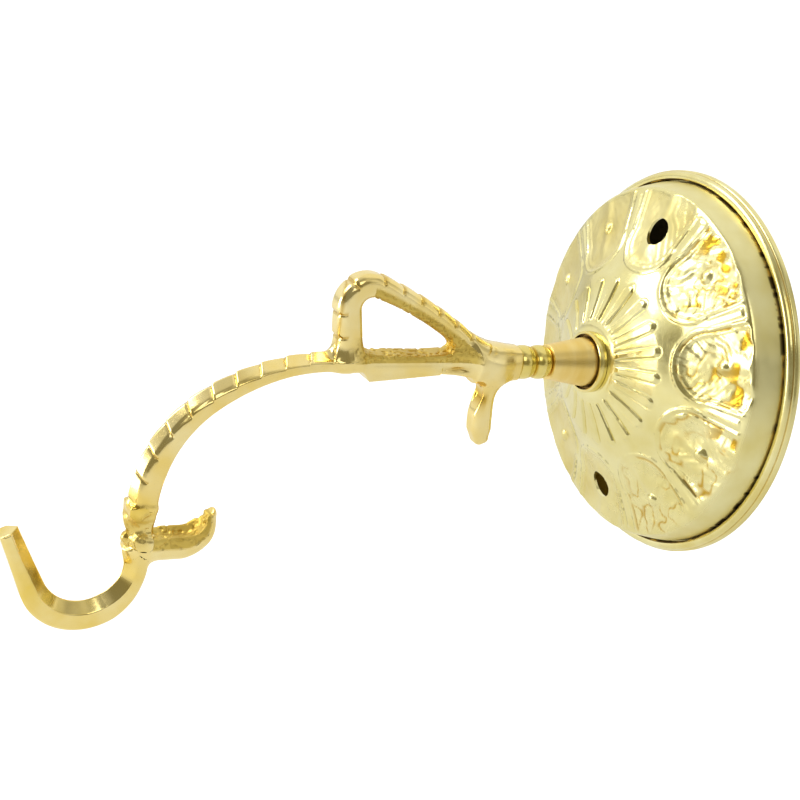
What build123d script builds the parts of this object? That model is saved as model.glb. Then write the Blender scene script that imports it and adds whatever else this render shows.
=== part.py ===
from build123d import *
import math
import os

# Vigil lamp bracket: a stamped wall plate and a cast arm that ends in an open lamp hook.
# Millimetres. The wall is the plane Y = 0 and +Y goes into it, so the bracket stands out along -Y.
# +Z is up. The origin is the centre of the plate's back. The arm lies in the plane X = 0.
# A height is a distance out from the wall, and a reach is the same for the arm.

os.makedirs("parts", exist_ok=True)

# Wall plate and rim
plate_diameter = 90.0
sheet = 1.0
rim_width = 2.5
rim_height = 3.2
rim_edge_height = 2.0
rim_bead_radius = 0.9
rim_flange_width = 5.0
rim_clearance = 0.05
skirt_lean = 1.25
shoulder_height = 9.8
shoulder_radius = 1.9
hub_radius = 8.6
hub_height = 23.0
hub_edge_radius = 2.5
flute_end_radius = 19.2
flute_end_height = 18.6
flute_blend_radius = 12.0
petal_height = 12.4
petal_blend_radius = 22.0

# Ornament on the plate
petal_count = 10
flute_angle = 9.0
flute_width = 1.8
flute_rise = 0.45
flute_root = 0.6
flute_gap = 0.9
bead_radius = 1.3
bead_lift = 0.5
bead_inset = 8.0

# Screw holes in the plate
screw_hole_diameter = 6.2
screw_inset = 9.7

# Stud and its fasteners
stud_diameter = 5.0
stud_running_clearance = 0.08
thread_clearance = 0.03
stud_chamfer = 0.5
stud_grip = 8.5
stud_tail = 3.0
washer_bore_clearance = 0.15
plate_washer_diameter = 15.0
plate_washer_thickness = 1.2
lock_washer_diameter = 9.2
lock_washer_thickness = 1.2
lock_washer_slit = 0.8
nut_across_flats = 8.0
nut_height = 4.0
nut_chamfer = 0.4

# Seat ring, ferrule and collar
cone_end_diameter = 11.8
cone_tip_diameter = 7.9
cone_length = 11.3
cone_edge_radius = 0.4
seat_floor = 0.8
seat_lip_height = 1.1
seat_lip_width = 0.75
seat_gap = 0.45
seat_edge_radius = 0.3
collar_bead_count = 2
collar_bead_length = 4.2
collar_bead_diameter = 7.8
collar_waist_diameter = 6.6
collar_bead_flank = 1.0
collar_bead_radius = 1.2

# Cast arm
neck_root_diameter = 7.0
neck_end_diameter = 8.2
neck_length = 7.5
arm_width = 6.0
arm_thickness = 4.0
arm_root_thickness = 5.0
arm_fall_thickness = 4.9
arm_run = 44.8
arm_rise = 0.9
crown_radius = 45.0
crown_turn = 35.9
fall_radius = 28.5
tail_thickness = 6.2
tail_end_thickness = 6.0
arm_edge_radius = 0.8
step_reach = 80.5
step_depth = 1.4
step_length = 17.0
step_tail = 2.5
groove_count = 9
groove_pitch = 5.4
groove_radius = 0.5
groove_depth = 0.35

# Loop scroll
loop_width = 6.0
loop_root_thickness = 4.6
loop_thickness = 4.6
loop_foot_thickness = 5.6
loop_root_reach = 10.0
loop_root_lift = 2.3
loop_rise = 38.0
loop_climb_radius = 98.5
loop_climb_turn = 18.2
loop_radius = 4.8
loop_turn = 120.0
loop_foot = 10.4
loop_edge_radius = 0.8

# Lamp hook
hook_width = 4.6
hook_drop = 13.5
hook_radius = 10.9
hook_turn = 157.0
hook_tip_length = 14.2
hook_root_thickness = 5.8
hook_thickness = 5.1
hook_belly_thickness = 6.4
hook_rise_thickness = 6.0
hook_tip_thickness = 4.4
hook_edge_radius = 0.9

# Leaves
leaf_edge_radius = 0.4
curl_width = 7.0
curl_root_drop = 9.6
curl_run = 8.9
curl_radius = 6.8
curl_turn = 85.0
curl_root_thickness = 5.0
curl_thickness = 5.8
curl_neck_thickness = 4.0
curl_tip_thickness = 1.5
drop_width = 5.0
drop_root_reach = 5.0
drop_root_wall = 0.77
drop_length = 15.0
drop_lean = 20.0
drop_bow = 36.0
drop_thickness = 3.4
drop_bowl_thickness = 4.2
drop_tip_thickness = 2.0

# Sizes that follow from those above
rim_radius = plate_diameter / 2
skirt_radius = rim_radius - rim_width - rim_clearance
field_radius = skirt_radius - skirt_lean
screw_circle = field_radius - screw_inset
bead_circle = field_radius - bead_inset
stud_radius = stud_diameter / 2
stud_bore = stud_radius + stud_running_clearance
thread_bore = stud_radius + thread_clearance
washer_bore = stud_radius + washer_bore_clearance
cone_end_radius = cone_end_diameter / 2
seat_recess_radius = cone_end_radius + seat_gap
seat_ring_radius = seat_recess_radius + seat_lip_width
cone_base = hub_height + seat_floor
collar_base = cone_base + cone_length
neck_base = collar_base + collar_bead_count * collar_bead_length
plate_washer_face = hub_height - sheet
lock_washer_face = plate_washer_face - plate_washer_thickness
nut_face = lock_washer_face - lock_washer_thickness
stud_end = nut_face - nut_height - stud_tail
stud_top = neck_base + stud_grip
petal_step = 360 / petal_count


def turned(outline):
    """Points (radius, height) of a turned piece, in the plane that is turned about the Y axis."""
    return [(radius, -height) for radius, height in outline]


def washer(bore, radius, face, thickness):
    """Sketch points of a flat washer whose outer face is at the given height."""
    back = face - thickness
    return turned([(bore, face), (radius, face), (radius, back), (bore, back)])


def side_view(spine, stations):
    """Side view of a bar along a spine in the arm's plane, from (share of its length, thickness)."""
    left_side = []
    right_side = []
    for share, thickness in stations:
        point = spine @ share
        across = (spine % share).rotate(Axis.Z, 90) * thickness / 2
        left_side.append(point + across)
        right_side.append(point - across)
    with BuildSketch(Plane.YZ) as view:
        with BuildLine():
            Spline(*left_side)
            Line(left_side[-1], right_side[-1])
            Spline(*right_side)
            Line(right_side[0], left_side[0])
        make_face()
    return view.sketch


def long_edges(piece):
    """Curved edges that run along a bar, on both of its sides."""
    return piece.edges().filter_by(GeomType.BSPLINE)


def thickness_at(stations, share):
    """Thickness of a bar at a share of its length, in a straight line between two stations."""
    for (low, thin), (high, thick) in zip(stations, stations[1:]):
        if share <= high:
            return thin + (thick - thin) * (share - low) / (high - low)
    return stations[-1][1]


def groove_places(spine, stations, first, pitch, count, sink):
    """Centres of the cross grooves, sunk into the back of a bar, each with its place in the YZ plane."""
    places = []
    for number in range(count):
        share = (first + number * pitch) / spine.length
        across = (spine % share).rotate(Axis.Z, -90)
        point = spine @ share + across * (thickness_at(stations, share) / 2 - sink)
        places.append((point.X, point.Y))
    return places


# Spines of the cast pieces, drawn with Y to the right and Z up
with BuildLine() as arm_line:
    run = PolarLine((-neck_base, 0), arm_run, 180 - arm_rise)
    crown = JernArc(start=run @ 1, tangent=run % 1, radius=crown_radius, arc_size=crown_turn)
    fall_turn = 90 + arm_rise - crown_turn
    JernArc(start=crown @ 1, tangent=crown % 1, radius=fall_radius, arc_size=fall_turn)
arm_spine = arm_line.wires()[0]

with BuildLine() as hook_line:
    drop = Line(arm_spine @ 1, arm_spine @ 1 + Vector(0, -hook_drop))
    bowl = JernArc(start=drop @ 1, tangent=drop % 1, radius=hook_radius, arc_size=-hook_turn)
    Line(bowl @ 1, bowl @ 1 + (bowl % 1) * hook_tip_length)
hook_spine = hook_line.wires()[0]

with BuildLine() as loop_line:
    loop_root = Vector(-neck_base - loop_root_reach, loop_root_lift)
    climb_start = Vector(-1, 0).rotate(Axis.Z, -loop_rise)
    climb = JernArc(start=loop_root, tangent=climb_start, radius=loop_climb_radius,
                    arc_size=loop_climb_turn)
    top = JernArc(start=climb @ 1, tangent=climb % 1, radius=loop_radius, arc_size=loop_turn)
    Line(top @ 1, top @ 1 + (top % 1) * loop_foot)
loop_spine = loop_line.wires()[0]

with BuildLine() as curl_line:
    curl_root = arm_spine @ 1 + Vector(0, -curl_root_drop)
    under = Line(curl_root, curl_root + Vector(curl_run, 0))
    JernArc(start=under @ 1, tangent=under % 1, radius=curl_radius, arc_size=curl_turn)
curl_spine = curl_line.wires()[0]

with BuildLine() as drop_line:
    drop_root = Vector(-neck_base - drop_root_reach, -thread_bore - drop_root_wall)
    drop_start = Vector(0, -1).rotate(Axis.Z, -drop_lean)
    drop_radius = drop_length / math.radians(drop_bow)
    JernArc(start=drop_root, tangent=drop_start, radius=drop_radius, arc_size=drop_bow)
drop_spine = drop_line.wires()[0]

# Wall plate: sheet dome with its back open, flutes round the hub, beads and screw holes
flute_slope = math.atan2(hub_height - flute_end_height, flute_end_radius - hub_radius)
flute_length = flute_end_radius - hub_radius - 2 * flute_gap
flute_middle = (hub_radius + flute_end_radius) / 2
flute_height = (hub_height + flute_end_height) / 2
flute_plane = Plane(
    origin=(flute_middle, -flute_height, 0),
    x_dir=(math.cos(flute_slope), math.sin(flute_slope), 0),
    z_dir=(math.sin(flute_slope), -math.cos(flute_slope), 0),
)
with BuildPart() as flute:
    with BuildSketch(flute_plane):
        SlotOverall(flute_length, flute_width)
    extrude(amount=flute_rise)
    with BuildSketch(flute_plane):
        SlotOverall(flute_length, flute_width)
    extrude(amount=-flute_root)

bead_slope = (petal_height - shoulder_height) / (field_radius - screw_circle)
bead_height = petal_height - bead_slope * (bead_circle - screw_circle) + bead_lift
with BuildPart() as wall_plate:
    with BuildSketch(Plane.XY):
        with BuildLine():
            face = FilletPolyline(
                *turned([
                    (stud_bore, hub_height),
                    (hub_radius, hub_height),
                    (flute_end_radius, flute_end_height),
                    (screw_circle, petal_height),
                    (field_radius, shoulder_height),
                    (skirt_radius, rim_height),
                    (skirt_radius, sheet),
                ]),
                radius=[hub_edge_radius, flute_blend_radius, petal_blend_radius,
                        shoulder_radius, shoulder_radius],
            )
            offset(face, amount=sheet, side=Side.LEFT)
        make_face()
    revolve(axis=Axis.Y)
    for petal in range(petal_count):
        for side in (-flute_angle, flute_angle):
            add(flute.part.rotate(Axis.Y, petal * petal_step + side - 90))
        if petal % (petal_count // 2):
            angle = math.radians(petal * petal_step)
            across = bead_circle * math.sin(angle)
            up = bead_circle * math.cos(angle)
            with Locations((across, -bead_height, up)):
                Sphere(bead_radius)
    with BuildSketch(Plane.XZ):
        with GridLocations(0, 2 * screw_circle, 1, 2):
            Circle(screw_hole_diameter / 2)
    extrude(amount=hub_height, mode=Mode.SUBTRACT)
wall_plate.part.label = "wall_plate"
export_step(wall_plate.part, "parts/wall_plate.step")

# Rim ring: stepped ring that holds the dome's foot on its inner flange and lies on the wall
with BuildPart() as rim_ring:
    rim_bore = skirt_radius + rim_clearance
    with BuildSketch(Plane.XY):
        with BuildLine():
            outline = turned([
                (skirt_radius - rim_flange_width, 0),
                (rim_radius, 0),
                (rim_radius, rim_edge_height),
                (rim_bore + rim_width / 2, rim_height),
                (rim_bore, rim_height),
                (rim_bore, sheet),
                (skirt_radius - rim_flange_width, sheet),
            ])
            Polyline(*outline, close=True)
        make_face()
        outer_corner = vertices().group_by(Axis.X)[-1].sort_by(Axis.Y)[0]
        fillet(outer_corner, rim_bead_radius)
    revolve(axis=Axis.Y)
rim_ring.part.label = "rim_ring"
export_step(rim_ring.part, "parts/rim_ring.step")

# Seat ring: cup washer on the hub, in which the ferrule turns
with BuildPart() as seat_ring:
    lip = cone_base + seat_lip_height
    with BuildSketch(Plane.XY):
        with BuildLine():
            Polyline(*turned([
                (stud_bore, hub_height),
                (seat_ring_radius, hub_height),
                (seat_ring_radius, lip),
                (seat_recess_radius, lip),
                (seat_recess_radius, cone_base),
                (stud_bore, cone_base),
            ]), close=True)
        make_face()
    revolve(axis=Axis.Y)
    top_edges = seat_ring.edges().group_by(Axis.Y)[0]
    fillet(top_edges, seat_edge_radius)
seat_ring.part.label = "seat_ring"
export_step(seat_ring.part, "parts/seat_ring.step")

# Cone ferrule: turned cone that stands in the seat ring
with BuildPart() as cone_ferrule:
    with BuildSketch(Plane.XY):
        with BuildLine():
            Polyline(*turned([
                (stud_bore, cone_base),
                (cone_end_radius, cone_base),
                (cone_tip_diameter / 2, collar_base),
                (stud_bore, collar_base),
            ]), close=True)
        make_face()
    revolve(axis=Axis.Y)
    big_end = cone_ferrule.edges().filter_by(GeomType.CIRCLE).sort_by(SortBy.RADIUS)[-1]
    fillet(big_end, cone_edge_radius)
cone_ferrule.part.label = "cone_ferrule"
export_step(cone_ferrule.part, "parts/cone_ferrule.step")

# Neck collar: rounded bead rings between the ferrule and the arm
with BuildPart() as neck_collar:
    waist = collar_waist_diameter / 2
    bulge = collar_bead_diameter / 2
    outline = [(stud_bore, neck_base), (stud_bore, collar_base)]
    for number in range(collar_bead_count):
        low = collar_base + number * collar_bead_length
        high = low + collar_bead_length
        outline += [(waist, low), (bulge, low + collar_bead_flank), (bulge, high - collar_bead_flank)]
    outline += [(waist, neck_base)]
    with BuildSketch(Plane.XY):
        with BuildLine():
            Polyline(*turned(outline), close=True)
        make_face()
        fillet(vertices().group_by(Axis.X)[-1], collar_bead_radius)
    revolve(axis=Axis.Y)
neck_collar.part.label = "neck_collar"
export_step(neck_collar.part, "parts/neck_collar.step")

# Arm stem: neck, straight run and bow of the cast arm, down to its tail
with BuildPart() as arm_stem:
    arm_stations = [
        (0.03, neck_root_diameter - arm_edge_radius),
        (0.08, neck_end_diameter - arm_edge_radius),
        (0.16, arm_root_thickness),
        (0.25, arm_thickness),
        (0.40, arm_thickness),
        (0.55, arm_thickness),
        (0.70, arm_fall_thickness),
        (0.92, tail_thickness),
        (1.00, tail_end_thickness),
    ]
    extrude(side_view(arm_spine, arm_stations), amount=arm_width / 2, both=True)
    fillet(long_edges(arm_stem), arm_edge_radius)
    with BuildSketch(Plane.YZ):
        with BuildLine():
            Polyline(
                (step_length - step_reach, 0),
                (step_length - step_reach, -arm_thickness / 2),
                (-step_reach, -arm_thickness / 2 - step_depth),
                (-step_reach - step_tail, 0),
                close=True,
            )
        make_face()
    extrude(amount=arm_width / 2 - arm_edge_radius, both=True)
    with BuildSketch(Plane.XY):
        with BuildLine():
            Polyline(*turned([
                (0, neck_base),
                (neck_root_diameter / 2, neck_base),
                (neck_end_diameter / 2, neck_base + neck_length),
                (0, neck_base + neck_length),
            ]), close=True)
        make_face()
    revolve(axis=Axis.Y)
    with BuildSketch(Plane.XZ.offset(neck_base)):
        Circle(thread_bore)
    extrude(amount=stud_grip, mode=Mode.SUBTRACT)
    groove_sink = groove_depth - groove_radius
    groove_centres = groove_places(arm_spine, arm_stations, arm_run, groove_pitch, groove_count,
                                   groove_sink)
    with BuildSketch(Plane.YZ):
        with Locations(*groove_centres):
            Circle(groove_radius)
    extrude(amount=arm_width, both=True, mode=Mode.SUBTRACT)
arm_stem.part.label = "arm_stem"
export_step(arm_stem.part, "parts/arm_stem.step")

# Lamp hook: smooth bar that hangs from the tail and turns up into an open bowl
with BuildPart() as lamp_hook:
    hook_stations = [
        (0.00, hook_root_thickness),
        (0.17, hook_thickness),
        (0.30, hook_thickness),
        (0.43, hook_belly_thickness),
        (0.56, hook_belly_thickness),
        (0.70, hook_rise_thickness),
        (0.85, hook_thickness),
        (1.00, hook_tip_thickness),
    ]
    extrude(side_view(hook_spine, hook_stations), amount=hook_width / 2, both=True)
    fillet(long_edges(lamp_hook), hook_edge_radius)
    add(arm_stem.part, mode=Mode.SUBTRACT)
lamp_hook.part.label = "lamp_hook"
export_step(lamp_hook.part, "parts/lamp_hook.step")

# Loop scroll: ribbon that leaves the neck, loops over and comes down on the arm
with BuildPart() as loop_scroll:
    loop_stations = [
        (0.00, loop_root_thickness),
        (0.25, loop_root_thickness),
        (0.50, loop_thickness),
        (0.65, loop_thickness),
        (0.85, loop_foot_thickness),
        (1.00, loop_foot_thickness),
    ]
    extrude(side_view(loop_spine, loop_stations), amount=loop_width / 2, both=True)
    fillet(long_edges(loop_scroll), loop_edge_radius)
    add(arm_stem.part, mode=Mode.SUBTRACT)
loop_scroll.part.label = "loop_scroll"
export_step(loop_scroll.part, "parts/loop_scroll.step")

# Curl leaf: leaf brazed beside the tail, curling up to a thin tip
with BuildPart() as curl_leaf:
    curl_stations = [
        (0.00, curl_root_thickness),
        (0.25, curl_thickness),
        (0.50, curl_thickness),
        (0.75, curl_neck_thickness),
        (1.00, curl_tip_thickness),
    ]
    extrude(side_view(curl_spine, curl_stations), amount=curl_width / 2, both=True)
    fillet(long_edges(curl_leaf), leaf_edge_radius)
    add(arm_stem.part, mode=Mode.SUBTRACT)
    add(lamp_hook.part, mode=Mode.SUBTRACT)
curl_leaf.part.label = "curl_leaf"
export_step(curl_leaf.part, "parts/curl_leaf.step")

# Drop leaf: small spoon-shaped leaf under the neck
with BuildPart() as drop_leaf:
    drop_stations = [
        (0.00, drop_thickness),
        (0.30, drop_thickness),
        (0.60, drop_bowl_thickness),
        (0.80, drop_bowl_thickness),
        (1.00, drop_tip_thickness),
    ]
    extrude(side_view(drop_spine, drop_stations), amount=drop_width / 2, both=True)
    fillet(long_edges(drop_leaf), leaf_edge_radius)
    add(arm_stem.part, mode=Mode.SUBTRACT)
drop_leaf.part.label = "drop_leaf"
export_step(drop_leaf.part, "parts/drop_leaf.step")

# Mounting stud: runs from the blind hole in the neck to the nut inside the dome
with BuildPart() as mounting_stud:
    with BuildSketch(Plane.XZ.offset(stud_end)):
        Circle(stud_radius)
    extrude(amount=stud_top - stud_end)
    chamfer(mounting_stud.edges().filter_by(GeomType.CIRCLE), stud_chamfer)
mounting_stud.part.label = "mounting_stud"
export_step(mounting_stud.part, "parts/mounting_stud.step")

# Plate washer, split lock washer and nut behind the hub
with BuildPart() as plate_washer:
    with BuildSketch(Plane.XY):
        with BuildLine():
            Polyline(*washer(stud_bore, plate_washer_diameter / 2, plate_washer_face,
                             plate_washer_thickness), close=True)
        make_face()
    revolve(axis=Axis.Y)
plate_washer.part.label = "plate_washer"
export_step(plate_washer.part, "parts/plate_washer.step")

with BuildPart() as lock_washer:
    with BuildSketch(Plane.XY):
        with BuildLine():
            Polyline(*washer(washer_bore, lock_washer_diameter / 2, lock_washer_face,
                             lock_washer_thickness), close=True)
        make_face()
    revolve(axis=Axis.Y)
    with BuildSketch(Plane.XZ.offset(nut_face)):
        with Locations((lock_washer_diameter / 2, 0)):
            Rectangle(lock_washer_diameter, lock_washer_slit)
    extrude(amount=lock_washer_thickness, mode=Mode.SUBTRACT)
lock_washer.part.label = "lock_washer"
export_step(lock_washer.part, "parts/lock_washer.step")

with BuildPart() as hex_nut:
    with BuildSketch(Plane.XZ.offset(nut_face - nut_height)):
        RegularPolygon(nut_across_flats / 2, 6, major_radius=False)
        Circle(thread_bore, mode=Mode.SUBTRACT)
    extrude(amount=nut_height)
    corners = hex_nut.edges().filter_by(GeomType.LINE).filter_by(Axis.Y, reverse=True)
    chamfer(corners, nut_chamfer)
hex_nut.part.label = "hex_nut"
export_step(hex_nut.part, "parts/hex_nut.step")
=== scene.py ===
"""Looks of the vigil lamp bracket: embossed brass wall plate and a cast arm with a lamp hook."""
from math import cos, pi, radians, sin, sqrt

import bmesh
import bpy
import numpy as np
import openvdb
from mathutils import Matrix, Vector


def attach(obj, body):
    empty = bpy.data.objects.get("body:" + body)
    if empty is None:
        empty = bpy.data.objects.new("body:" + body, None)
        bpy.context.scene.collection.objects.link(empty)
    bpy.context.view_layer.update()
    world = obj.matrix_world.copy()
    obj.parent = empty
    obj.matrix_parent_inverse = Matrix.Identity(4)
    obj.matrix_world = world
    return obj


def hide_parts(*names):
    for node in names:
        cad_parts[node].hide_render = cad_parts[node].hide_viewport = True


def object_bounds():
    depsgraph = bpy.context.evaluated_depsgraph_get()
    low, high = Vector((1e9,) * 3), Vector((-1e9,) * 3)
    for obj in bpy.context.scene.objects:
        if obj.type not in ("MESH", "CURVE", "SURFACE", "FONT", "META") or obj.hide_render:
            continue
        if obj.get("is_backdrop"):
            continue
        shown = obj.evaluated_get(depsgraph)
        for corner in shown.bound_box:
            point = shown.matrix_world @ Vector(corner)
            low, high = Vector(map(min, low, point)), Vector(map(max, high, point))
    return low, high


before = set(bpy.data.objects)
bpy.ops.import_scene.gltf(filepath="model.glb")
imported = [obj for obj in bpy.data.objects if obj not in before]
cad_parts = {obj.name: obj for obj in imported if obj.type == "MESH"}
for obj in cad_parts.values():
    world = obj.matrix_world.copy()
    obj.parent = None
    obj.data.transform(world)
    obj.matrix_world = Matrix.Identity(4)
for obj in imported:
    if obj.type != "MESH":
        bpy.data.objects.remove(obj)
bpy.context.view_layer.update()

# Lengths below are in millimetres, in the frame of the CAD
MM = 0.001
# Edges whose faces meet at more than this angle stay sharp
SHARP_ANGLE = radians(42)

# Camera, as the photograph was taken
CAMERA_AZIMUTH = 60.5
CAMERA_ELEVATION = 19.6
CAMERA_ROLL = 9.75
CAMERA_SIDE = 64.1
CAMERA_RISE = 9.2
CAMERA_DISTANCE = 356.7
SENSOR = 36.0
FOCAL_PIXELS = 1500
IMAGE_PIXELS = 800
CLIP_START = 10.0

# Lamps as (name, place, aim, width, power) in metres and watts
LAMPS = [("key", (-0.45, -0.75, 0.72), (0, -0.04, 0), 0.6, 5.0),
         ("front", (-0.15, -0.55, 0.0), (0, -0.02, 0), 0.2, 0.7),
         ("side", (0.7, -0.25, 0.6), (0, -0.04, 0), 0.4, 0.8)]

# Surroundings: the room is bright all round, and darker on the side named here
DARK_SIDE = (0.82, -0.46, 0.33)
ROOM_LIGHT = (1.0, 1.0, 1.0)
ROOM_DARK = (0.13, 0.11, 0.03)
ROOM_EDGES = (0.5, 0.85)
ROOM_WAVES = 1.9
ROOM_SWAY = 1.6
ROOM_SPREAD = 0.55
ROOM_STRENGTH = 0.95
# Share of the white background that reflections in metal show
METAL_SHARE = 0.15
FLOOR_GAP = 45.0
FLOOR_HALF = 30000.0
FLOOR_COLOUR = (0.8, 0.8, 0.8)
FLOOR_GLOW = 0.55
# Near-black disc behind the dome that paints the shade seen through the screw holes
SHADE_PATCH_RADIUS = 44.0
SHADE_PATCH_GAP = 0.3

# Wall plate
SHEET = 1.0
PLATE_TOP = 22.98
PLATE_PROFILE = [(2.65, 22.95), (7.9, 22.95), (8.9, 22.7), (10.5, 21.9), (14.5, 20.1), (19.2, 18.3),
                 (25, 15.1), (31.5, 12.2), (37, 10.5), (39.5, 9.85), (40.2, 9.65), (40.7, 9.2),
                 (40.95, 8.6), (41.1, 8.0), (42.3, 3.1), (42.4, 1.05)]
PROFILE_BLUR = 0.28
SKIRT_START = 40.3
HUB_EDGE = (8.4, 9.2)
# The sheet's mesh: rings of the front as (first radius, last radius, count), and radii of the back
PLATE_TURNS = 640
FRONT_RINGS = [(2.65, 8.0, 3), (8.6, 40.0, 106), (40.2, 41.1, 6), (41.2, 42.1, 4), (42.14, 42.4, 9)]
BACK_RINGS = [41.45, 41.45, 41.3, 40.2, 39.6, 38, 34, 30, 26, 22, 18, 14, 11, 8.6, 5, 2.65]
PETALS = 10
PETAL_MIDDLE = 31.0
PETAL_HALF_WIDTH = 8.3
PETAL_HALF_LENGTH = 8.6
PETAL_SPREAD = 0.24
RIB_ANGLE = 9.0
RIB_START = 9.3
RIB_END = 18.6
RIB_RISE = 0.42
BEAD_CIRCLE = 33.2
BEAD_RADIUS = 1.5
BEAD_RISE = 0.75
OUTLINE_RISE = 0.34
INNER_OUTLINE_RISE = 0.22
PETAL_DEPTH = 0.30
STEM_RISE = 0.30
SPINE_RISE = 0.28
CREASE_DEPTH = 0.10
# Depth by which the pockets of painted shade are also sunk
SHADE_POCKET_DEPTH = 0.11
SCREW_CIRCLE = 31.5
SCREW_RADIUS = 3.1
DRILL_MIDDLE = -12.0
DRILL_LENGTH = 30.0

# Turned pieces, as (radius, height) outlines from the wall outwards
RIM_PROFILE = [(37.5, 0.02), (44.5, 0.02), (44.95, 0.4), (44.95, 1.5), (44.75, 1.75), (44.55, 1.8),
               (44.5, 1.95), (44.6, 2.15), (44.45, 2.6), (44.05, 2.95), (43.5, 3.1), (42.98, 2.95),
               (42.86, 2.7), (42.72, 2.72), (42.62, 2.6), (42.55, 2.3), (42.52, 1.05), (37.5, 1.05)]
SEAT_PROFILE = [(5.2, 23.02), (7.05, 23.02), (7.08, 24.5), (6.95, 24.8), (6.72, 24.88), (6.45, 24.75),
                (6.36, 24.4), (6.36, 23.82), (5.2, 23.8)]
CONE_PROFILE = [(2.6, 23.82), (5.6, 23.82), (5.82, 24.05), (5.78, 24.4), (4.9, 29.5), (4.1, 34.5),
                (4.0, 34.95), (3.8, 35.08), (2.6, 35.08)]
COLLAR_BASE = 35.12
COLLAR_BEAD = 4.18
COLLAR_WAIST = 3.25
COLLAR_SWELL = 0.63
COLLAR_BORE = 2.6
COLLAR_BEADS = 2
BEAD_STEPS = 18

# Cast pieces: each spine's start and its runs of (length, turn to the left) in the plane of Y and Z,
# and the bar's thickness as stations of (share of the length, thickness)
ARM_START = (-43.5, 0.0)
ARM_RUNS = [(44.8, 0.0), (28.2, 35.9), (27.36, 55.0)]
ARM_STATIONS = [(0, 6.2), (.08, 7.3), (.16, 5.0), (.25, 4), (.55, 4), (.7, 4.9), (.92, 6.2), (1, 6.0)]
HOOK_RUNS = [(13.5, 0.0), (29.87, -157.0), (14.2, 0.0)]
HOOK_STATIONS = [(0, 5.8), (.17, 5.1), (.3, 5.1), (.43, 6.4), (.56, 6.4), (.7, 6), (.85, 5.1), (1, 4.4)]
LOOP_START = (-53.5, 2.3)
LOOP_RUNS = [(31.3, 18.2), (10.05, 120.0), (10.4, 0.0)]
LOOP_STATIONS = [(0, 4.6), (.5, 4.8), (.7, 5.4), (1, 5.8)]
CURL_START = (-126.965, -40.375)
CURL_RUNS = [(8.9, 0.0), (10.09, 85.0)]
CURL_STATIONS = [(0, 5), (.25, 5.8), (.5, 5.8), (.75, 4.4), (1, 2.6)]
DROP_START = (-48.5, -3.3)
DROP_RUNS = [(15.0, 36.0)]
DROP_STATIONS = [(0, 3.6), (.3, 3.6), (.6, 4.7), (.85, 4.8), (1, 3.6)]
STEP_OUTLINE = [(-63.5, 0), (-63.5, -2.0), (-80.5, -3.4), (-83, 0)]
STEP_HALF_WIDTH = 2.9
NECK_RADIUS = 3.5
NECK_FLARE = 0.95
NECK_FRONT = -43.5
NECK_END = -54.0

# Cross grooves and scales on the arm's outer face, and bands on the loop
GROOVE_PITCH = 5.4
GROOVE_FIRST = 44.8
GROOVE_SLANT = -0.38
GROOVE_LINE = 0.30
GROOVE_DEPTH = 0.28
SCALE_DEPTH = 0.40
ARM_ROOF = 1.5
ARM_POCKET = 16
BAND_PITCH = 5.2
BAND_LINE = 0.35
HOOK_BEVEL = 2.5
HOOK_INNER_BEVEL = 0.28
LEAF_HOLLOW = 1.1
DROP_BOWL = 0.7

# Brazed joint at the arm's tail: lumps of filler round this place
BRAZE_PLACE = (0.0, -127.3, -35.6)
BRAZE_SPREAD = (2.2, 2.4, 5.4)
BRAZE_LUMPS = 26
BRAZE_SEED = 4

# Reach of the fillet where each part joins the casting, in the order they are joined
NECK_FILLET = 2.4
STEP_FILLET = 0.4
BRAZE_FILLET = 0.6
FILLETS = {"loop_scroll": 3.6, "drop_leaf": 3.0, "lamp_hook": 1.0, "curl_leaf": 2.4}

# Grid that the casting is meshed on, and the distances that stand for far away and for near
VOXEL = 0.18
FAR = 9.0
NEAR = 3
PIT_DEPTH = 0.32
CAST_LOW = (-4.8, -156.0, -59.0)
CAST_HIGH = (4.8, -43.0, 20.6)


def lattice_noise(points, scale, seed):
    """Smooth noise from 0 to 1 at each point, from a repeating lattice of random numbers."""
    cells = 32
    values = np.random.default_rng(seed).random((cells, cells, cells))
    place = np.asarray(points) / scale
    low = np.floor(place).astype(int)
    part = place - low
    part = part * part * (3 - 2 * part)
    total = 0
    for corner in np.ndindex(2, 2, 2):
        index = [(low[..., axis] + corner[axis]) % cells for axis in range(3)]
        weight = 1
        for axis in range(3):
            weight = weight * (part[..., axis] if corner[axis] else 1 - part[..., axis])
        total = total + weight * values[tuple(index)]
    return total


def smooth_step(low, high, value):
    """0 below low, 1 above high, and smooth between."""
    share = np.clip((value - low) / (high - low), 0, 1)
    return share * share * (3 - 2 * share)


def mesh_object(name, vertices, faces, body, nodes, attributes=None):
    """A piece made from millimetre vertices, which rides on a body and stands for CAD nodes."""
    mesh = bpy.data.meshes.new(name)
    mesh.from_pydata((np.asarray(vertices) * MM).tolist(), [], faces)
    for key, values in (attributes or {}).items():
        layer = mesh.attributes.new(key, "FLOAT", "POINT")
        layer.data.foreach_set("value", np.asarray(values, np.float32))
    work = bmesh.new()
    work.from_mesh(mesh)
    rims = [edge for edge in work.edges if edge.is_boundary]
    if rims:
        caps = bmesh.ops.holes_fill(work, edges=rims, sides=0)["faces"]
        bmesh.ops.triangulate(work, faces=caps)
    bmesh.ops.recalc_face_normals(work, faces=work.faces)
    for face in work.faces:
        face.smooth = True
    work.to_mesh(mesh)
    work.free()
    mesh.set_sharp_from_angle(angle=SHARP_ANGLE)
    piece = bpy.data.objects.new(name, mesh)
    bpy.context.scene.collection.objects.link(piece)
    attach(piece, body)
    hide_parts(*nodes)
    return piece


def ring_faces(turns, count):
    """Quads of a closed outline of count points that goes round in a number of turns."""
    return [(a * count + b, a * count + (b + 1) % count,
             (a + 1) % turns * count + (b + 1) % count, (a + 1) % turns * count + b)
            for a in range(turns) for b in range(count)]


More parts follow.
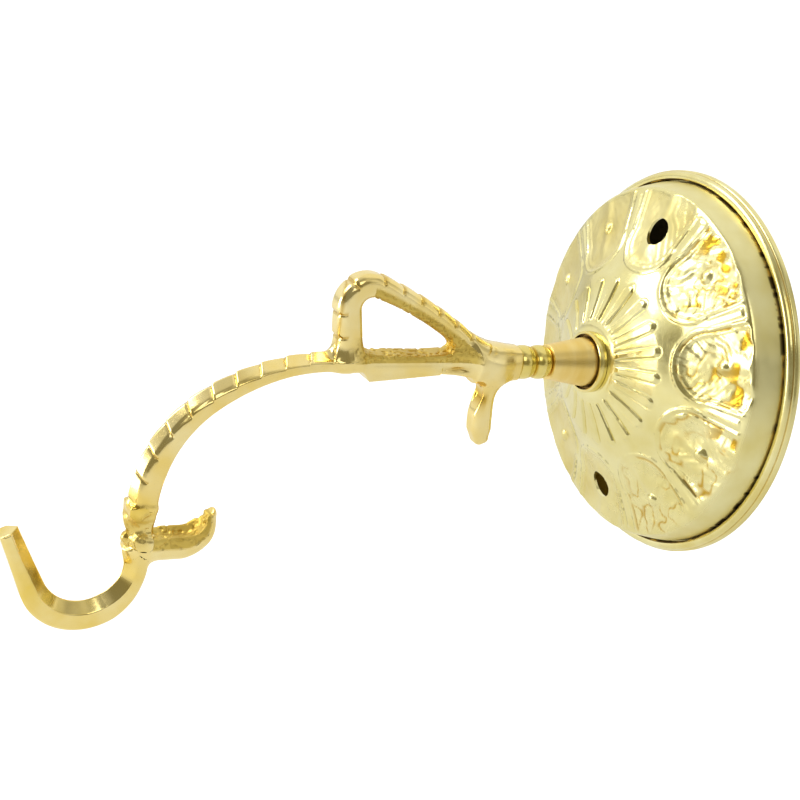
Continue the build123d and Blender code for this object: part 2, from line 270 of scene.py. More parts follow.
# Materials
PALE = (0.88, 0.81, 0.42)
GOLD = (0.80, 0.70, 0.28)
# Deep gold: painted shade in hollows, grooves, waists and seams, and the colour of the streaks at the
# braze
DEEP_GOLD = (0.58, 0.35, 0.03)
# Near-black brown: painted shade in seams, in the cone's recess, along the petals' outlines and on the
# plate's back
SHADE_BROWN = (0.07, 0.035, 0.01)
ROUGH_PALE = (0.74, 0.56, 0.14)
ROUGH_DEEP = (0.58, 0.40, 0.07)
ROUGH_DULL = 0.3
SATIN_DULL = 0.2
PATCH_SCALE = 95
POLISH_SCALE = 260
BUMP_REACH = 0.0002


def brass(name, pale, deep, roughness, spread, grain, bump, shade_and_streaks=DEEP_GOLD, stretch=(1, 1, 1)):
    """Brass with patchy colour and polish, deep gold where one attribute is high (painted shade in
    hollows, and streaks at the braze), and dark brown painted shade where another is high.
    """
    material = bpy.data.materials.new(name)
    material.use_nodes = True
    tree = material.node_tree
    shader = tree.nodes["Principled BSDF"]
    shader.inputs["Metallic"].default_value = 1.0
    make = tree.nodes.new
    link = tree.links.new
    place = make("ShaderNodeTexCoord")
    mapping = make("ShaderNodeMapping")
    mapping.inputs["Scale"].default_value = stretch
    link(place.outputs["Object"], mapping.inputs["Vector"])

    def noise(scale, detail):
        node = make("ShaderNodeTexNoise")
        node.inputs["Scale"].default_value = scale
        node.inputs["Detail"].default_value = detail
        link(mapping.outputs["Vector"], node.inputs["Vector"])
        return node.outputs["Fac"]

    def mix(share, first, second):
        node = make("ShaderNodeMix")
        node.data_type = "RGBA"
        link(share, node.inputs["Factor"])
        for value, socket in ((first, node.inputs["A"]), (second, node.inputs["B"])):
            if isinstance(value, tuple):
                socket.default_value = (*value, 1)
            else:
                link(value, socket)
        return node.outputs["Result"]

    def ranged(value, low, high, to_low, to_high):
        node = make("ShaderNodeMapRange")
        link(value, node.inputs["Value"])
        for key, number in zip(("From Min", "From Max", "To Min", "To Max"), (low, high, to_low, to_high)):
            node.inputs[key].default_value = number
        return node.outputs["Result"]

    def attribute(key):
        node = make("ShaderNodeAttribute")
        node.attribute_name = key
        return node.outputs["Fac"]

    def dulled(key, amount, value):
        node = make("ShaderNodeMath")
        node.operation = "MULTIPLY_ADD"
        link(attribute(key), node.inputs[0])
        node.inputs[1].default_value = amount
        link(value, node.inputs[2])
        return node.outputs["Value"]

    patches = ranged(noise(PATCH_SCALE, 3), 0.35, 0.68, 0, 1)
    colour = mix(patches, pale, deep)
    # Deep gold painted shade in hollows and seams, and deep gold streaks at the braze
    colour = mix(attribute("shade_and_streaks"), colour, shade_and_streaks)
    rough_colour = mix(patches, ROUGH_PALE, ROUGH_DEEP)
    colour = mix(attribute("rough"), colour, rough_colour)
    # Dark brown painted shade in seams and recesses and on the plate's back
    colour = mix(attribute("painted_shade"), colour, SHADE_BROWN)
    link(colour, shader.inputs["Base Color"])
    polish = ranged(noise(POLISH_SCALE, 4), 0.3, 0.7, roughness - spread, roughness + spread)
    polish = dulled("satin", SATIN_DULL, dulled("rough", ROUGH_DULL, polish))
    link(polish, shader.inputs["Roughness"])
    relief = make("ShaderNodeBump")
    relief.inputs["Strength"].default_value = bump
    relief.inputs["Distance"].default_value = BUMP_REACH
    link(noise(grain, 5), relief.inputs["Height"])
    link(relief.outputs["Normal"], shader.inputs["Normal"])
    return material


def background_share(tree):
    """1 for rays that see the background, and a small share of it for reflections in metal."""
    path = tree.nodes.new("ShaderNodeLightPath")
    glossy = tree.nodes.new("ShaderNodeMath")
    glossy.operation = "MULTIPLY"
    tree.links.new(path.outputs["Is Glossy Ray"], glossy.inputs[0])
    glossy.inputs[1].default_value = METAL_SHARE
    share = glossy.outputs["Value"]
    for ray in ("Is Camera Ray", "Is Transmission Ray"):
        either = tree.nodes.new("ShaderNodeMath")
        either.operation = "MAXIMUM"
        tree.links.new(share, either.inputs[0])
        tree.links.new(path.outputs[ray], either.inputs[1])
        share = either.outputs["Value"]
    return share


def floor_material():
    """Pale floor that glows a little for rays that see the background."""
    material = bpy.data.materials.new("floor_white")
    material.use_nodes = True
    tree = material.node_tree
    shader = tree.nodes["Principled BSDF"]
    shader.inputs["Base Color"].default_value = (*FLOOR_COLOUR, 1)
    shader.inputs["Roughness"].default_value = 0.9
    shader.inputs["Specular IOR Level"].default_value = 0.0
    shader.inputs["Emission Color"].default_value = (1, 1, 1, 1)
    seen = tree.nodes.new("ShaderNodeMath")
    seen.operation = "MULTIPLY"
    tree.links.new(background_share(tree), seen.inputs[0])
    seen.inputs[1].default_value = FLOOR_GLOW
    tree.links.new(seen.outputs["Value"], shader.inputs["Emission Strength"])
    return material


plate_brass = brass("plate_brass", PALE, GOLD, 0.20, 0.07, 900, 0.10)
rim_brass = brass("rim_brass", PALE, (0.78, 0.66, 0.24), 0.20, 0.06, 700, 0.10)
cone_brass = brass("cone_brass", (0.92, 0.71, 0.27), (0.86, 0.62, 0.18), 0.32, 0.04, 1400, 0.12,
                   stretch=(1, 5, 1))
collar_brass = brass("collar_brass", (0.90, 0.79, 0.36), (0.82, 0.66, 0.18), 0.17, 0.05, 800, 0.08)
cast_brass = brass("cast_brass", (0.95, 0.80, 0.39), (0.90, 0.67, 0.18), 0.16, 0.05, 1100, 0.06)
hook_brass = brass("hook_brass", (0.94, 0.78, 0.35), (0.86, 0.63, 0.13), 0.14, 0.05, 1000, 0.05)
plated_steel = brass("plated_steel", (0.60, 0.60, 0.61), (0.50, 0.51, 0.53), 0.30, 0.06, 1200, 0.15,
                     shade_and_streaks=(0.4, 0.4, 0.4))


def lathe(name, outline, body, material, segments=240, stains_and_shade=None):
    """A piece from a closed (radius, height) outline turned about the plate's axis."""
    outline = np.array(outline)
    turns = np.linspace(0, 2 * pi, segments, endpoint=False)
    radius = outline[None, :, 0]
    height = np.broadcast_to(outline[None, :, 1], (segments, len(outline)))
    points = np.stack([radius * np.sin(turns)[:, None], -height, radius * np.cos(turns)[:, None]], -1)
    faces = ring_faces(segments, len(outline))
    flat = points.reshape(-1, 3)
    # Painted shade for the piece's seams, waists and recesses
    looks = {} if stains_and_shade is None else stains_and_shade(flat, np.tile(outline, (segments, 1)))
    piece = mesh_object(name + "_look", flat, faces, body, [name], looks)
    piece.data.materials.append(material)


def rim_shade(points, outline):
    """Painted shade: deep gold in the seam round the dome's foot and in the groove round the rim, with
    dark broken spots of painted shade along the seam.
    """
    spots = lattice_noise(points, 1.1, 5)
    reach = lattice_noise(points, 9.0, 6)
    radius, height = outline.T
    seam = (radius < 42.9) & (radius > 42.0) & (height > 1.2)
    line = (abs(radius - 44.5) < 0.08) & (height > 1.7) & (height < 2.2)
    dark = smooth_step(0.34, 0.46, spots + 0.35 * (reach - 0.5)) * smooth_step(0.2, 0.4, reach)
    return {"shade_and_streaks": 0.9 * seam + 0.5 * line, "painted_shade": 0.9 * seam * dark}


def collar_shade(points, outline):
    """Painted shade: deep gold in the waists between the beads."""
    return {"shade_and_streaks": smooth_step(3.55, 3.3, outline[:, 0])}


def seat_shade(points, outline):
    """Painted shadow: dark gold and near-black brown in the recess that the cone stands in."""
    radius = outline[:, 0]
    return {"shade_and_streaks": 1.0 * (radius < 6.42), "painted_shade": 0.85 * (radius < 6.38)}


def collar_outline():
    """Outline of the turned beads with tight waists."""
    outline = [(COLLAR_BORE, COLLAR_BASE)]
    for bead in range(COLLAR_BEADS):
        for step in range(BEAD_STEPS + 1):
            share = step / BEAD_STEPS
            radius = COLLAR_WAIST + COLLAR_SWELL * abs(sin(pi * share)) ** 0.7
            outline.append((radius, COLLAR_BASE + (bead + 0.03 + 0.94 * share) * COLLAR_BEAD))
    outline.append((COLLAR_BORE, COLLAR_BASE + COLLAR_BEADS * COLLAR_BEAD))
    return outline


lathe("rim_ring", RIM_PROFILE, "plate", rim_brass, 360, rim_shade)
lathe("seat_ring", SEAT_PROFILE, "plate", collar_brass, stains_and_shade=seat_shade)
lathe("cone_ferrule", CONE_PROFILE, "arm", cone_brass)
lathe("neck_collar", collar_outline(), "arm", collar_brass, stains_and_shade=collar_shade)


# Wall plate: a sheet whose front carries the rosette
def petal_edge(radius, turn):
    """Distance outside the nearest petal's outline, the place across that petal and its number."""
    step = 2 * pi / PETALS
    number = np.round(turn / step)
    across = (turn - number * step) * radius
    inner = np.hypot(across / PETAL_HALF_WIDTH, (radius - PETAL_MIDDLE) / PETAL_HALF_LENGTH) - 1
    outer = abs(across) - PETAL_HALF_WIDTH - PETAL_SPREAD * (radius - PETAL_MIDDLE)
    return np.where(radius < PETAL_MIDDLE, inner * PETAL_HALF_WIDTH, outer), across, number % PETALS


def petal_relief(points, radius, turn, edge, across, number):
    """Height of the petals and all their marks, and the fields that the painted shade and the rough finish
    follow too.
    """
    blotch = lattice_noise(points, 3.3, 11) - 0.5
    fine = lattice_noise(points, 0.8, 12) - 0.5
    right = smooth_step(-12, 14, points[..., 0])
    field = smooth_step(40.7, 39.4, radius + 1.6 * blotch)
    outline = OUTLINE_RISE * np.exp(-((edge + 0.1) / 0.38) ** 2)
    outline = outline + INNER_OUTLINE_RISE * np.exp(-((edge + 1.25) / 0.32) ** 2)
    inside = smooth_step(0, -1.8, edge)
    phase = (abs(across) * 0.75 + radius * 0.66) / 2.1 + 1.2 * blotch + number * 0.37
    feathers = (phase % 1) * inside * smooth_step(0.9, 2.6, abs(across))
    spine = np.exp(-(across / 1.3) ** 2) * smooth_step(25, 28, radius) * inside
    screw_petal = np.isin(number, (0, PETALS // 2))
    bead_gap = np.hypot(across, radius - BEAD_CIRCLE)
    bead = np.where(screw_petal, 0, np.sqrt(np.clip(1 - (bead_gap / BEAD_RADIUS) ** 2, 0, 1)))
    half_step = 180 / PETALS
    stem_across = abs(((np.degrees(turn) + half_step) % (2 * half_step)) - half_step)
    stem = smooth_step(1.5, 0.4, (half_step - stem_across) * pi / 180 * radius)
    stem = stem * smooth_step(28, 32, radius) * smooth_step(39.6, 38.9, radius)
    relief = outline + STEM_RISE * stem - PETAL_DEPTH * inside
    relief = relief + (0.05 + 0.10 * right) * feathers + SPINE_RISE * spine
    relief = relief + inside * ((0.22 + 0.33 * right) * blotch + 0.06 * fine) + BEAD_RISE * bead
    return relief * field + 0.05 * blotch, inside, field, right, fine


def rib_relief(radius, turn):
    """Height of the ribs round the hub, each with a crease round it."""
    rib_turn = (np.degrees(turn) % (2 * RIB_ANGLE)) - RIB_ANGLE
    across = abs(np.radians(rib_turn)) * radius
    along = (radius - RIB_START) / (RIB_END - RIB_START)
    half = 0.55 + 0.50 * np.clip(along, 0, 1)
    over = np.where(radius > RIB_END, np.hypot(across, radius - RIB_END), across)
    rib = smooth_step(half + 0.22, half - 0.16, over) * smooth_step(0, 0.12, along)
    crease = np.exp(-((over - half - 0.3) / 0.22) ** 2) * smooth_step(0, 0.1, along)
    crease = crease * (radius < RIB_END + 1.6)
    return RIB_RISE * rib - CREASE_DEPTH * crease


def plate_relief(radius, turn):
    """Height of the rosette over the plain dome, how much painted shade each point gets, and how rough and
    dull it is.
    """
    points = np.stack([radius * np.sin(turn), 0 * radius, radius * np.cos(turn)], -1)
    edge, across, number = petal_edge(radius, turn)
    relief, inside, field, right, fine = petal_relief(points, radius, turn, edge, across, number)
    relief = relief + rib_relief(radius, turn)
    # Painted shade: deep gold pockets, curls and crease lines inside the petals on the right-hand side
    shade_noise = lattice_noise(points, 2.3, 13)
    outer_half = smooth_step(30, 37, radius) * smooth_step(-14, -4, points[..., 2])
    curls = np.exp(-((shade_noise - 0.5) / 0.05) ** 2) * smooth_step(0.35, 0.6, lattice_noise(points, 5.0, 14))
    pocket = inside * field * (curls + outer_half * smooth_step(0.58, 0.66, shade_noise))
    line = np.exp(-((edge + 0.7) / 0.24) ** 2) * smooth_step(0.5, 0.6, shade_noise) * field
    shade_and_streaks = np.clip((pocket + 0.8 * line) * smooth_step(3, 17, points[..., 0]), 0, 1)
    rough = 0.25 * inside * field * (1 - right)
    # Painted shade: dark brown broken spots at the foot of the petals' outlines and in the seam at the
    # dome's foot
    painted_shade = 0.6 * np.exp(-((edge - 0.35) / 0.14) ** 2) * smooth_step(0.66, 0.74, fine + 0.5) * field
    seam_spots = smooth_step(0.42, 0.55, lattice_noise(points, 0.9, 15))
    seam_spots = seam_spots * smooth_step(0.3, 0.5, lattice_noise(points, 8.0, 16))
    painted_shade = np.maximum(painted_shade, 0.85 * smooth_step(42.16, 42.25, radius) * seam_spots)
    satin = np.maximum(smooth_step(40.6, 41.0, radius), 0.35 * inside * field)
    return relief - SHADE_POCKET_DEPTH * shade_and_streaks, shade_and_streaks, rough, satin, painted_shade


def dome_height(radius):
    """Height of the plain dome, from its profile with the corners eased."""
    profile = np.array(PLATE_PROFILE)
    fine = np.linspace(profile[0, 0], profile[-1, 0], 1600)
    height = np.interp(fine, profile[:, 0], profile[:, 1])
    reach = int(3 * PROFILE_BLUR / (fine[1] - fine[0]))
    kernel = np.exp(-0.5 * (np.arange(-reach, reach + 1) / (reach / 3)) ** 2)
    eased = np.convolve(np.pad(height, reach, mode="edge"), kernel / kernel.sum(), "valid")
    skirt = fine > SKIRT_START
    return np.interp(radius, fine, np.where(skirt, height, eased))


def screw_hole(piece, middle):
    """Cuts a screw hole through a piece, at a height above the plate's axis."""
    drill = bpy.data.meshes.new("drill")
    work = bmesh.new()
    bmesh.ops.create_cone(work, cap_ends=True, segments=64, radius1=SCREW_RADIUS * MM,
                          radius2=SCREW_RADIUS * MM, depth=DRILL_LENGTH * MM)
    bmesh.ops.rotate(work, verts=work.verts, matrix=Matrix.Rotation(pi / 2, 3, "X"))
    bmesh.ops.translate(work, verts=work.verts, vec=(0, DRILL_MIDDLE * MM, middle * MM))
    work.to_mesh(drill)
    work.free()
    tool = bpy.data.objects.new("drill", drill)
    bpy.context.scene.collection.objects.link(tool)
    cut = piece.modifiers.new("screw_hole", "BOOLEAN")
    cut.operation = "DIFFERENCE"
    cut.solver = "MANIFOLD"
    cut.object = tool
    bpy.context.view_layer.update()
    cut_mesh = bpy.data.meshes.new_from_object(
        piece.evaluated_get(bpy.context.evaluated_depsgraph_get()))
    piece.modifiers.clear()
    piece.data = cut_mesh
    bpy.data.objects.remove(tool)


def wall_plate():
    """Embossed dome as a closed sheet, with two screw holes cut through."""
    rings = np.concatenate([np.linspace(*run) for run in FRONT_RINGS])
    back_rings = np.array(BACK_RINGS)
    turn = np.linspace(0, 2 * pi, PLATE_TURNS, endpoint=False)[:, None]
    radius = np.broadcast_to(rings[None, :], (PLATE_TURNS, len(rings)))
    angle = np.broadcast_to(turn, radius.shape)
    relief, shade_and_streaks, rough, satin, painted_shade = plate_relief(radius, angle)
    front = np.minimum(dome_height(radius) + relief * smooth_step(*HUB_EDGE, radius), PLATE_TOP)
    back = dome_height(back_rings) - SHEET
    back[0] = front[0, -1]
    back_shape = (PLATE_TURNS, len(back_rings))
    loop_radius = np.concatenate([radius, np.broadcast_to(back_rings, back_shape)], axis=1)
    loop_height = np.concatenate([front, np.broadcast_to(back, back_shape)], axis=1)
    vertices = np.stack([loop_radius * np.sin(turn), -loop_height, loop_radius * np.cos(turn)], -1)
    faces = ring_faces(PLATE_TURNS, len(rings) + len(back_rings))
    # Each look's values on the front, and its one value on the back
    # The back, facing the wall, gets dark brown painted shade at a share of 0.6
    looks = {"shade_and_streaks": (shade_and_streaks, 0.0), "rough": (rough, 0.5), "satin": (satin, 1.0),
             "painted_shade": (painted_shade, 0.6)}
    looks = {key: np.concatenate([values, np.full(back_shape, behind)], axis=1).ravel()
             for key, (values, behind) in looks.items()}
    piece = mesh_object("wall_plate_look", vertices.reshape(-1, 3), faces, "plate", ["wall_plate"],
                        looks)
    piece.data.materials.append(plate_brass)
    for side in (1, -1):
        screw_hole(piece, side * SCREW_CIRCLE)
    piece.data.set_sharp_from_angle(angle=SHARP_ANGLE)


wall_plate()


# Cast pieces: one distance field, so that they flow into each other
def spine_points(start, heading, runs):
    """Points and headings along straight and round runs, with the distance along the spine."""
    step = 0.25
    points = [np.array(start, float)]
    headings = [heading]
    for length, turn in runs:
        count = int(round(length / step))
        for _ in range(count):
            middle = radians(headings[-1] + turn / count / 2)
            points.append(points[-1] + length / count * np.array([cos(middle), sin(middle)]))
            headings.append(headings[-1] + turn / count)
    points = np.array(points)
    travel = np.concatenate([[0], np.cumsum(np.hypot(*np.diff(points, axis=0).T))])
    return points, np.radians(headings), travel


ARM_SPINE = spine_points(ARM_START, 180 - 0.9, ARM_RUNS)
ARM_END = tuple(ARM_SPINE[0][-1])
# Each bar's spine, stations, half width, and edge radii on its outer and inner side
BARS = {
    "arm_stem": (ARM_SPINE, ARM_STATIONS, 3.0, 0.8, 1.1),
    "lamp_hook": (spine_points(ARM_END, -90, HOOK_RUNS), HOOK_STATIONS, 2.3, 0.5, 0.5),
    "loop_scroll": (spine_points(LOOP_START, 142, LOOP_RUNS), LOOP_STATIONS, 2.95, 2.0, 1.5),
    "curl_leaf": (spine_points(CURL_START, 0, CURL_RUNS), CURL_STATIONS, 3.4, 2.3, 0.7),
    "drop_leaf": (spine_points(DROP_START, 250, DROP_RUNS), DROP_STATIONS, 2.5, 1.5, 1.3),
}


def along_bar(bar, y, z):
    """Travel along a bar, offset to its outer side, distance past its ends and half thickness."""
    (points, headings, travel), stations = BARS[bar][:2]
    flat_y, flat_z = y.ravel(), z.ravel()
    near = np.empty(flat_y.size, int)
    chunk = 20000
    for low in range(0, flat_y.size, chunk):
        part = slice(low, low + chunk)
        gap = (flat_y[part, None] - points[:, 0]) ** 2 + (flat_z[part, None] - points[:, 1]) ** 2
        near[part] = gap.argmin(1)
    dy, dz = flat_y - points[near, 0], flat_z - points[near, 1]
    forward = dy * np.cos(headings[near]) + dz * np.sin(headings[near])
    offset = dy * np.sin(headings[near]) - dz * np.cos(headings[near])
    at_end = (near == 0) | (near == len(points) - 1)
    past = np.where(at_end, abs(forward), 0) * np.where(near == 0, forward < 0, forward > 0)
    s = travel[near] + np.where(at_end, 0, forward)
    shares, thicknesses = np.array(stations, float).T
    half = np.interp(s / travel[-1], shares, thicknesses) / 2
    return [part.reshape(y.shape).astype(np.float32) for part in (s, offset, past, half)]


def groove_phase(s, x):
    """How far each place lies between one cross groove of the arm and the next, from 0 to 1."""
    return ((s - GROOVE_FIRST + GROOVE_SLANT * x) / GROOVE_PITCH) % 1


def line_at(phase, pitch, width):
    """1 where a repeating phase is whole, falling off over a width."""
    return np.exp(-(np.minimum(phase, 1 - phase) * pitch / width) ** 2)


def bar_marks(bar, s, offset, outer, length, width, x):
    """Depth of a bar's cast relief on its outer and inner faces, and its half width."""
    relief = 0
    if bar == "arm_stem":
        tooth = groove_phase(s, x)
        band = smooth_step(GROOVE_FIRST - 1, GROOVE_FIRST, s) * smooth_step(length, length - 3, s)
        line = line_at(tooth, GROOVE_PITCH, GROOVE_LINE)
        roof = ARM_ROOF * smooth_step(36, 46, s) * abs(x) / width
        relief = outer * (band * (GROOVE_DEPTH * line + SCALE_DEPTH * (1 - tooth) ** 1.5) + roof)
        width = width - 0.30 * band * outer * (1 - tooth) ** 2
        width = width - 0.55 * np.exp(-((s - ARM_POCKET) / 3.0) ** 2 - ((offset + 0.9) / 0.55) ** 2)
    if bar == "loop_scroll":
        tooth = (s / BAND_PITCH) % 1
        relief = outer * (0.30 * line_at(tooth, BAND_PITCH, BAND_LINE) + 0.30 * (1 - tooth) ** 2)
    if bar == "lamp_hook":
        width = width + 0.6 * smooth_step(6, 0, s)
    if bar == "curl_leaf":
        width = width - 1.0 * smooth_step(4, 0, s)
        hollow = LEAF_HOLLOW * smooth_step(2.9, 1.2, abs(x)) * smooth_step(1, 5, s)
        hollow = hollow * smooth_step(length, 0.7 * length, s)
        relief = (1 - outer) * hollow
        width = width - 1.5 * smooth_step(0.72 * length, length, s) ** 2
    if bar == "drop_leaf":
        bowl = DROP_BOWL * np.exp(-((s - 0.35 * length) / 2.0) ** 2) * smooth_step(2.0, 1.0, abs(x))
        relief = outer * bowl
        width = width - 0.3 * smooth_step(0.7 * length, length, s) ** 2
    return relief, width


def bar_field(bar, maps, x):
    """Distance to a bar of rounded section, with its cast relief, at side place x."""
    s, offset, past, half = maps
    width, outer_edge, inner_edge = BARS[bar][2:]
    edge = inner_edge + (outer_edge - inner_edge) * smooth_step(-0.6, 0.6, offset)
    outer = smooth_step(0, 0.8, offset)
    length = BARS[bar][0][2][-1]
    relief, width = bar_marks(bar, s, offset, outer, length, width, x)
    side = abs(x) - width + edge
    face = abs(offset) - half + relief + edge
    end = np.where(past > 0, past + edge, -FAR)
    inside = np.minimum(np.maximum(np.maximum(side, face), end), 0)
    outside = np.sqrt(np.maximum(side, 0) ** 2 + np.maximum(face, 0) ** 2 + past ** 2)
    distance = outside + inside - edge
    if bar == "lamp_hook":
        bevel = HOOK_BEVEL * smooth_step(0.5, 5, s)
        bevel = np.where(offset > 0, bevel, HOOK_INNER_BEVEL * bevel)
        corner = (abs(x) - width + abs(offset) - half + bevel) * sqrt(0.5)
        distance = np.maximum(distance, corner)
    return distance


def grid_sample(values, places):
    """Values of a grid at places between its points, in grid steps."""
    top = np.array(values.shape) - 2
    low = np.clip(np.floor(places).astype(int), 0, top)
    part = places - low
    total = 0
    for corner in np.ndindex(2, 2, 2):
        weight = np.prod(np.where(corner, part, 1 - part), axis=1)
        total = total + weight * values[tuple((low + corner).T)]
    return total


def smooth_union(first, second, reach):
    """Union of two distances with a fillet."""
    near = np.maximum(reach - abs(first - second), 0) / reach
    return np.minimum(first, second) - near * near * reach / 4


def neck_and_step(y, z, x):
    """Distance to the round neck that flares to the arm, and to the pointed step under the loop."""
    radius = NECK_RADIUS + NECK_FLARE * smooth_step(-43.8, -50, y)
    around = np.sqrt(x * x + z * z) - radius
    neck = np.maximum(np.maximum(around, y - NECK_FRONT), NECK_END - y)
    step = abs(x) - STEP_HALF_WIDTH
    corners = np.array(STEP_OUTLINE, float)
    for first, second in zip(corners, np.roll(corners, -1, axis=0)):
        run = (second - first) / np.linalg.norm(second - first)
        step = np.maximum(step, (z - first[1]) * run[0] - (y - first[0]) * run[1])
    return neck, step


def braze_field(y, z, x):
    """Lumps of filler where the arm, hook and curl leaf were joined."""
    random = np.random.default_rng(BRAZE_SEED)
    field = FAR
    for _ in range(BRAZE_LUMPS):
        centre = np.array(BRAZE_PLACE) + random.uniform(-1, 1, 3) * BRAZE_SPREAD
        radius = random.uniform(0.7, 1.5)
        lump = np.sqrt((x - centre[0]) ** 2 + (y - centre[1]) ** 2 + (z - centre[2]) ** 2) - radius
        field = smooth_union(field, lump, 1.3)
    return field


def cast_fields(y, z, x, maps):
    """Distance to each cast node."""
    fields = {bar: bar_field(bar, maps[bar], x) for bar in BARS}
    neck, step = neck_and_step(y, z, x)
    arm = smooth_union(fields["arm_stem"], neck, NECK_FILLET)
    fields["arm_stem"] = np.maximum(smooth_union(arm, step, STEP_FILLET), y - NECK_FRONT)
    fields["lamp_hook"] = smooth_union(fields["lamp_hook"], braze_field(y, z, x), BRAZE_FILLET)
    return fields


def cast_union(fields):
    """Distance to the whole casting, with fillets where its parts meet."""
    whole = fields["arm_stem"]
    for bar, reach in FILLETS.items():
        whole = smooth_union(whole, fields[bar], reach)
    return whole


def cast_rough(points, braze, arm, loop, curl):
    """1 where the casting was left rough: inside the loop's window, in the curl leaf, at the braze."""
    x, y, z = points.T
    window = smooth_step(-53, -56, y) * smooth_step(-86, -82, y)
    window = window * (z > 1.0) * (arm[1] < 6) * (loop[1] < -0.2)
    limb = smooth_step(0.1, -0.8, loop[1]) * (loop[0] < 33) * smooth_step(2, 5, loop[0]) * (loop[2] == 0)
    inner_loop = limb * (loop[1] > -3.2) * (z > 1.0)
    leaf = smooth_step(0.0, -0.6, curl[1]) * (curl[1] > -3.2) * (curl[2] < 1) * (z < -33)
    return np.clip(window + inner_loop + 0.45 * braze + leaf * (y > -124.5), 0, 1)


def cast_shade_and_streaks(points, stains_and_shade, braze, arm, loop, drop):
    """Painted shade: deep gold in the grooves, bands and hollows; and deep gold streaks at the braze."""
    x, y, z = points.T
    groove = line_at(groove_phase(arm[0], x), GROOVE_PITCH, GROOVE_LINE)
    groove = groove * (arm[1] > 0.6) * (arm[0] > GROOVE_FIRST - 1) * (arm[0] < 100)
    notch = line_at((loop[0] / BAND_PITCH) % 1, BAND_PITCH, 0.4)
    notch = notch * (loop[1] > 0.8) * (loop[1] < 3.4) * (loop[2] == 0) * (z > 2)
    pocket = np.exp(-((arm[0] - ARM_POCKET) / 2.6) ** 2 - ((arm[1] + 0.9) / 0.6) ** 2) * (abs(x) > 1.8)
    groove = np.maximum(groove, np.maximum(notch, pocket))
    eye = np.exp(-((drop[0] - 5.2) / 1.6) ** 2) * smooth_step(0.2, 0.9, drop[1]) * (drop[1] < 3)
    streak = braze * smooth_step(0.60, 0.70, stains_and_shade)
    return np.clip(0.7 * groove + 0.8 * streak + 0.8 * eye * (z < -5), 0, 1)


def cast_pieces():
    """Meshes the casting and gives each part of it to its own node's piece."""
    low, high = np.array(CAST_LOW), np.array(CAST_HIGH)
    x, y, z = (np.arange(low[axis], high[axis], VOXEL, dtype=np.float32) for axis in range(3))
    flat_y, flat_z = np.meshgrid(y, z, indexing="ij")
    maps = {bar: [part[None] for part in along_bar(bar, flat_y, flat_z)] for bar in BARS}
    fields = cast_fields(flat_y[None], flat_z[None], x[:, None, None], maps)
    whole = np.ascontiguousarray(cast_union(fields), np.float32)
    grid = openvdb.FloatGrid(FAR)
    grid.copyFromArray(np.clip(whole, -NEAR, NEAR))
    points, quads = grid.convertToQuads(0.0)
    points = np.asarray(points, float) * VOXEL + low
    quads = np.asarray(quads, int)

    def nearest(places):
        """Index of the grid point nearest each place."""
        return np.clip(((places - low) / VOXEL).round().astype(int), 0, np.array(whole.shape) - 1)

    # Each quad belongs to the node whose own surface is nearest
    names = list(fields)
    index = tuple(nearest(points[quads].mean(1)).T)
    values = np.stack([np.broadcast_to(fields[name], whole.shape)[index] for name in names])
    owner = values.argmin(0)

    at = nearest(points)
    arm, loop, curl, drop = ([part[0][at[:, 1], at[:, 2]] for part in maps[bar]]
                             for bar in ("arm_stem", "loop_scroll", "curl_leaf", "drop_leaf"))
    stains_and_shade = lattice_noise(points, 1.6, 21)
    pits = lattice_noise(points, 0.7, 22)
    braze = smooth_step(7.0, 4.6, np.linalg.norm(points - BRAZE_PLACE, axis=1) + 2.4 * stains_and_shade)
    rough = cast_rough(points, braze, arm, loop, curl)
    # Deep gold painted shade in grooves and hollows, and streaks at the braze
    shade_and_streaks = cast_shade_and_streaks(points, stains_and_shade, braze, arm, loop, drop)

    # The points move onto the surface itself, and the rough places get pits
    slope = [grid_sample(part, (points - low) / VOXEL) for part in np.gradient(whole, VOXEL)]
    away = np.stack(slope, -1)
    away = away / np.maximum(np.linalg.norm(away, axis=1, keepdims=True), 1e-6)
    points = points - away * grid_sample(whole, (points - low) / VOXEL)[:, None]
    sunk = rough * PIT_DEPTH * smooth_step(0.45, 0.8, pits)
    points = points - away * sunk[:, None]
    looks = {"lamp_hook": ("hook_brass", hook_brass)}
    for number, name in enumerate(names):
        used, faces = np.unique(quads[owner == number], return_inverse=True)
        slot, material = looks.get(name, ("cast_brass", cast_brass))
        piece = mesh_object(name + "_look", points[used], faces.reshape(-1, 4).tolist(), "arm", [name],
                            {"shade_and_streaks": shade_and_streaks[used], "rough": rough[used]})
        # A zero normal leaves the pitted places to the mesh
        polished = away[used] * (rough[used] < 0.05)[:, None]
        piece.data.normals_split_custom_set_from_vertices(polished.tolist())
        piece.data.materials.append(material)


cast_pieces()

# The stud, washers and nut keep their CAD shapes
for hidden in ("mounting_stud", "plate_washer", "lock_washer", "hex_nut"):
    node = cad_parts[hidden]
    for place in node.material_slots:
        place.material = plated_steel


